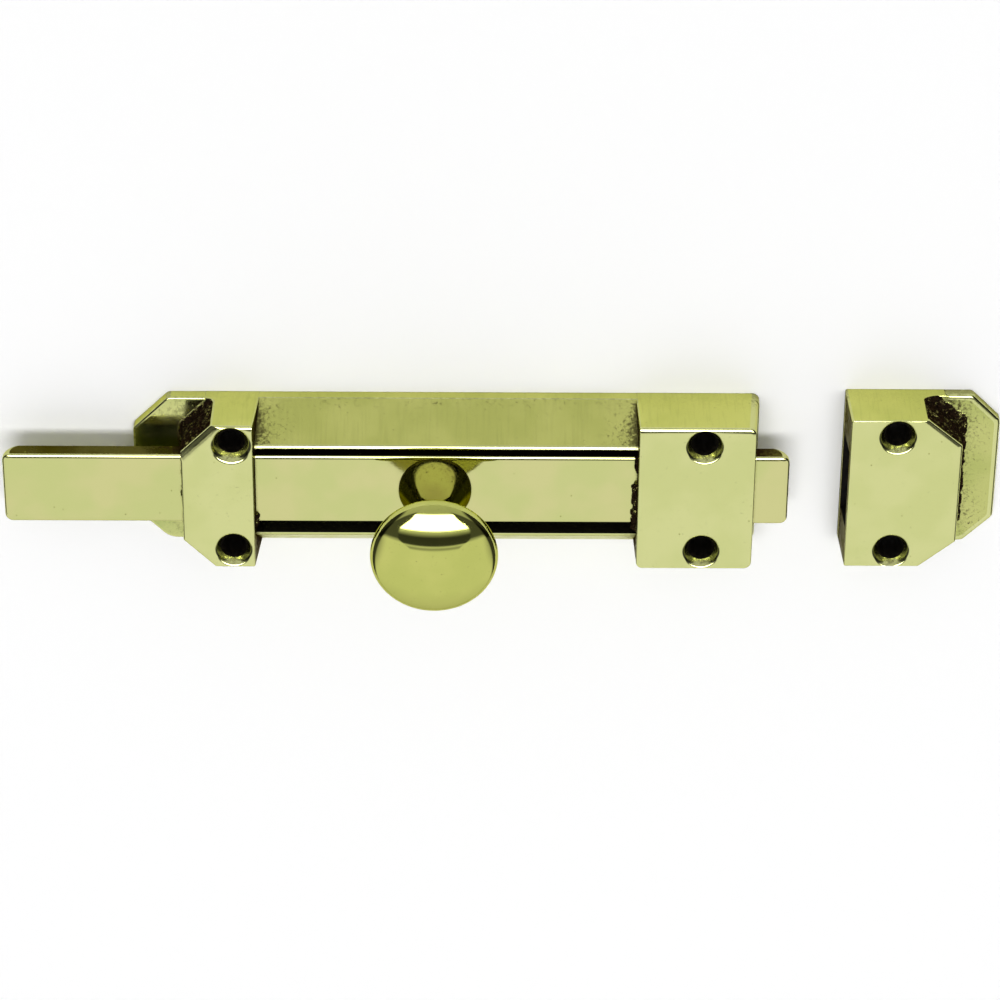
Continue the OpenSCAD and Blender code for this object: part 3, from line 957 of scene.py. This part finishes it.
def knob_outline():
    """The knob's outline from its seat on the bar: flange, foot, flare, rim and crown."""
    seat = knob_low.z
    rim_x = knob_high.y - KNOB_RIM_R
    rim_z = knob_high.z - KNOB_RISE
    crown_r = (rim_x ** 2 + KNOB_RISE ** 2 - KNOB_RIM_R ** 2) / (2 * (KNOB_RISE - KNOB_RIM_R))
    crown_z = knob_high.z - crown_r
    crown_start = degrees(atan2(rim_z - crown_z, rim_x))
    slope = radians(FOOT_SLOPE)
    foot_x = NECK_R + FOOT_R * (1 - sin(slope))
    foot_z = seat + FLANGE_T + (FLANGE_R - foot_x) * tan(slope) + FOOT_R * cos(slope)
    back = radians(BACK_SLOPE)
    rim_start = (rim_x + KNOB_RIM_R * sin(back), rim_z - KNOB_RIM_R * cos(back))
    flare_x = NECK_R + FLARE_R - FLARE_R * sin(back)
    flare_z = rim_start[1] - (rim_start[0] - flare_x) * tan(back) - FLARE_R * cos(back)
    edge = 0.2
    points = [(0, seat), (FLANGE_R - edge, seat)]
    points += arc(FLANGE_R - edge, seat + edge, edge, -90, 0, 4)
    points += arc(FLANGE_R - edge, seat + FLANGE_T - edge, edge, 0, 90 - FOOT_SLOPE, 6)
    points += arc(NECK_R + FOOT_R, foot_z, FOOT_R, 270 - FOOT_SLOPE, 180, 32)
    points += arc(NECK_R + FLARE_R, flare_z, FLARE_R, 180, 90 + BACK_SLOPE, 24)
    points += arc(rim_x, rim_z, KNOB_RIM_R, BACK_SLOPE - 90, crown_start, 32)
    points += arc(0, crown_z, crown_r, crown_start, 90, 48)[1:]
    points[-1] = (0, knob_high.z)
    return points


def drop_repeats(points, least=1e-4):
    """The points without those that repeat the one before."""
    kept = [points[0]]
    for p in points[1:]:
        if dist(p, kept[-1]) > least:
            kept.append(p)
    return kept


def knob():
    """The mushroom knob, turned in one piece with its neck, flange and bore."""
    bore_r = fit_r + 0.02
    bore_top = stud_high.z + 0.3
    bore = [(0, bore_top + 1.2), (bore_r, bore_top), (bore_r, knob_low.z)]
    outline = bore + drop_repeats(knob_outline())[1:]
    neck_top = knob_high.z - KNOB_RISE - KNOB_RIM_R * 0.5
    # The neck under the head takes a darker brass: painted shade
    tags = [KNOB_BORE] * 2 + [KNOB_NECK if z < neck_top else KNOB_SKIN for r, z in outline[3:]]
    made = turned("knob_turning", outline, knob_x, 0, [knob_brass, dark, shaded_neck_brass], 192, tags)
    finish_piece(made, "mushroom_knob", "bolt", "knob_brass", "knob", sharp=30)


# ----- fixings inside

THREAD_PITCH = 0.8
THREAD_DEPTH = 0.35


def threaded_stud():
    """The stud that holds the knob, with its helical thread and chamfered ends."""
    x = (stud_low.x + stud_high.x) / 2
    turns_round, steps = 48, 8
    length = stud_high.z - stud_low.z
    rows = round(length / THREAD_PITCH * steps)
    rings = []
    for k in range(rows + 1):
        z = stud_low.z + length * k / rows
        ends = min(z - stud_low.z, stud_high.z - z)
        cap = stud_r - max(0, 0.4 - ends)
        ring = []
        for i in range(turns_round):
            a = 2 * pi * i / turns_round
            phase = (z / THREAD_PITCH - i / turns_round) % 1
            out = min(cap, stud_r - THREAD_DEPTH * (1 - abs(2 * phase - 1)))
            ring.append((x + out * cos(a), out * sin(a), z))
        rings.append(ring)
    made = loft("stud", rings, [turned_brass])
    finish_piece(made, "threaded_stud", "bolt", "turned_brass", "knob_stud", sharp=25)


def spun_ring(name, outline_at, box, steps, material):
    """A ring about the upright axis of a box; its outline in radius and height may vary by angle."""
    x = (box[0].x + box[1].x) / 2
    rings = []
    for i in range(steps):
        a = 2 * pi * i / steps
        rings.append([(x + r * cos(a), r * sin(a), z) for r, z in outline_at(a)])
    return loft(name, rings, [material], closed=False)


def washer():
    """The washer under the bar, with broken edges."""
    outer = (washer_high.x - washer_low.x) / 2
    inner = stud_r + 0.05
    low, high, edge = washer_low.z, washer_high.z, 0.12
    outline = arc(outer - edge, low + edge, edge, -90, 0, 4) + arc(outer - edge, high - edge, edge, 0, 90, 4)
    outline += [(inner + edge, high), (inner, high - edge), (inner, low + edge), (inner + edge, low)]
    made = spun_ring("washer", lambda a: outline, (washer_low, washer_high), 96, spring_bronze)
    finish_piece(made, "plain_washer", "bolt", "spring_bronze", "stud_washer")


def nut():
    """The hexagon nut, chamfered on both faces, on the stud's tail."""
    corner_r = (nut_high.x - nut_low.x) / 2
    flat_r = corner_r * cos(radians(30))
    low, high, chamfer, bevel = nut_low.z, nut_high.z, 0.45, 0.35

    def outline_at(a):
        hexagon = flat_r / cos((a + pi / 6) % (pi / 3) - pi / 6)
        drop = 0.08 + chamfer * (hexagon - flat_r) / (corner_r - flat_r)
        return [(flat_r * 0.96, low), (flat_r * 0.985, low), (hexagon, low + drop),
                (hexagon, high - drop), (flat_r * 0.985, high), (stud_r + bevel, high),
                (stud_r, high - bevel), (stud_r, low + bevel), (stud_r + bevel, low)]

    made = spun_ring("nut", outline_at, (nut_low, nut_high), 72, turned_brass)
    finish_piece(made, "hexagon_nut", "bolt", "turned_brass", "stud_nut", sharp=20)


def leaf_spring():
    """The bowed leaf under the bar: a flat tab under its rivet, then one even bow."""
    low = leaf_low.z
    rise = leaf_high.z - low
    bow = leaf_high.x - leaf_low.x - LEAF_TAB
    r = (bow * bow / 4 + rise * rise) / (2 * rise)
    middle = leaf_low.x + LEAF_TAB + bow / 2
    half = degrees(asin(bow / 2 / r))
    centre_z = leaf_high.z - r
    top = [(leaf_low.x, low + LEAF_T), (leaf_low.x + LEAF_TAB - 0.4, low + LEAF_T)]
    top += [p for p in arc(middle, centre_z, r, 90 + half, 90 - half, 32) if p[1] > low + LEAF_T]
    bottom = [p for p in arc(middle, centre_z, r - LEAF_T, 90 - half, 90 + half, 32) if p[1] > low]
    bottom += [(leaf_low.x + LEAF_TAB, low), (leaf_low.x, low)]
    outline = top + bottom
    edge = 0.08
    rings = []
    for y, inset in ((leaf_low.y, edge), (leaf_low.y + edge, 0),
                     (leaf_high.y - edge, 0), (leaf_high.y, edge)):
        rings.append([(x, y, z) for x, z in shrunk(outline, inset)])
    made = loft("leaf", rings, [spring_bronze])
    finish_piece(made, "leaf_spring", "body", "spring_bronze", "friction_spring")


def shrunk(outline, inset):
    """A thin closed outline moved in by inset along the average normal at each point."""
    moved = []
    count = len(outline)
    for i, (x, z) in enumerate(outline):
        before, after = outline[i - 1], outline[(i + 1) % count]
        dx, dz = after[0] - before[0], after[1] - before[1]
        length = hypot(dx, dz) or 1
        moved.append((x + dz / length * inset, z - dx / length * inset))
    return moved


def rivet():
    """The rivet that holds the leaf, with a domed head."""
    x = (rivet_low.x + rivet_high.x) / 2
    y = (rivet_low.y + rivet_high.y) / 2
    head = (rivet_high.x - rivet_low.x) / 2
    seat = leaf_low.z + LEAF_T
    rise = rivet_high.z - seat
    dome = [(head * cos(radians(a)), seat + 0.1 + (rise - 0.1) * sin(radians(a)))
            for a in range(0, 90, 9)]
    outline = [(0, rivet_low.z), (SHANK_R, rivet_low.z), (SHANK_R, seat), (head, seat)]
    outline += dome + [(0, rivet_high.z)]
    made = turned("rivet", drop_repeats(outline), x, y, [turned_brass], 48)
    finish_piece(made, "domed_rivet", "body", "turned_brass", "spring_rivet")


body_casting()
keep_casting()
bolt_bar()
knob()
threaded_stud()
washer()
nut()
leaf_spring()
rivet()


# ----- camera, light and floor

# Metres and degrees
CAMERA_AIM = Vector((0.0066, -0.0089, 0))
CAMERA_DISTANCE = 0.8604
CAMERA_TILT = radians(32.0)
CAMERA_YAW = radians(0.556)
CAMERA_ROLL = radians(-0.528)
CAMERA_LENS = 151.4


def add_camera():
    """The camera stands well out from the latch and looks down on its front and its +Y side."""
    data = bpy.data.cameras.new("camera")
    data.lens = CAMERA_LENS
    data.sensor_width = 36
    data.clip_start = 0.01
    camera = bpy.data.objects.new("camera", data)
    bpy.context.scene.collection.objects.link(camera)
    turn = (Matrix.Rotation(-CAMERA_YAW, 4, "Y") @ Matrix.Rotation(-CAMERA_TILT, 4, "X")
            @ Matrix.Rotation(-CAMERA_ROLL, 4, "Z"))
    camera.matrix_world = Matrix.Translation(CAMERA_AIM) @ turn @ Matrix.Translation((0, 0, CAMERA_DISTANCE))
    bpy.context.scene.camera = camera


def add_floor():
    """A pale table top just under the latch. It is a little dimmer in reflections."""
    bm = bmesh.new()
    half = 3.0
    corners = [(-half, -half, 0), (half, -half, 0), (half, half, 0), (-half, half, 0)]
    bm.faces.new([bm.verts.new(p) for p in corners])
    material, tree, place = new_material("pale_table")
    tone = mixed(tree, spots(tree, place, 3, 2), (0.955, 0.955, 0.955, 1), (0.975, 0.975, 0.975, 1))
    seen = node(tree, "LightPath").outputs["Is Camera Ray"]
    tone = mixed(tree, seen, (0.88, 0.88, 0.88, 1), tone)
    shader = node(tree, "BsdfDiffuse", {"Color": tone})
    node(tree, "OutputMaterial", {0: shader.outputs[0]})
    floor = to_object("table", bm, [material])
    floor.location.z = -0.00002


# The studio's brightness by angle from overhead towards +Y, in degrees. On the -Y side stands a big
# pale panel, then come a dark gap, a softbox just past overhead, and a plain wall
PANEL = [(-90, 0.55), (-76, 0.80), (-60, 0.95)]
STUDIO_PEAK = 11.0
MIDDLE = PANEL + [(-18.5, 0.97), (-17, 0.45), (-15.8, 0.45), (-15, 0.85), (-14.4, 0.80), (-13.3, 0.06),
                  (-6.5, 0.05), (-4.5, 0.30), (-1, 1.0), (0.3, STUDIO_PEAK), (12.5, STUDIO_PEAK),
                  (13.5, 0.60), (80, 0.68)]
FLANKS = PANEL + [(-14, 0.95), (-10, 0.10), (14, 0.10), (26, 0.56), (80, 0.66)]


def brightness_by_angle(tree, angle, stops):
    """A colour ramp over the half circle from -90 to 90 degrees."""
    share = node(tree, "MapRange", {"Value": angle, "From Min": radians(-90),
                                    "From Max": radians(90)}).outputs[0]
    curve = node(tree, "ValToRGB", {0: share})
    marks = curve.color_ramp.elements
    marks.remove(marks[-1])
    for i, (tilt, level) in enumerate(stops):
        place = (tilt + 90) / 180
        mark = marks[0] if i == 0 else marks.new(place)
        mark.position = place
        mark.color = (level / STUDIO_PEAK,) * 3 + (1,)
    return maths(tree, "MULTIPLY", curve.outputs[0], STUDIO_PEAK)


def add_studio():
    """Soft light from all round, brightest overhead. The camera sees only plain white."""
    world = bpy.data.worlds.new("studio")
    bpy.context.scene.world = world
    world.use_nodes = True
    tree = world.node_tree
    tree.nodes.clear()
    way = node(tree, "TexCoord").outputs["Generated"]
    parts = node(tree, "SeparateXYZ", {0: way})
    angle = maths(tree, "ARCTAN2", parts.outputs["Y"], parts.outputs["Z"])
    across = maths(tree, "ABSOLUTE", parts.outputs["X"])
    # The softbox is narrower at its far side, and the gap beside it at its near side
    far_taper = ramp(tree, angle, radians(-4), radians(15), 0.0, 0.21)
    near_taper = ramp(tree, angle, radians(-19), radians(-10), 0.16, 0.0)
    reach = maths(tree, "ADD", across, maths(tree, "ADD", far_taper, near_taper))
    inside = ramp(tree, reach, 0.455, 0.485, 1.0, 0.0)
    middle = brightness_by_angle(tree, angle, MIDDLE)
    flanks = brightness_by_angle(tree, angle, FLANKS)
    level = node(tree, "Mix", {"Factor": inside, 2: flanks, 3: middle}, data_type="FLOAT").outputs[0]
    # Both ends of the studio are dark
    level = maths(tree, "MULTIPLY", level, ramp(tree, across, 0.58, 0.74, 1.0, 0.06))
    seen = node(tree, "LightPath").outputs["Is Camera Ray"]
    level = node(tree, "Mix", {"Factor": seen, 2: level, 3: 1.0}, data_type="FLOAT").outputs[0]
    light = node(tree, "Background", {"Color": (1, 1, 1, 1), "Strength": level})
    node(tree, "OutputWorld", {0: light.outputs[0]})


add_camera()
add_floor()
add_studio()
bpy.context.scene.view_settings.view_transform = "Standard"
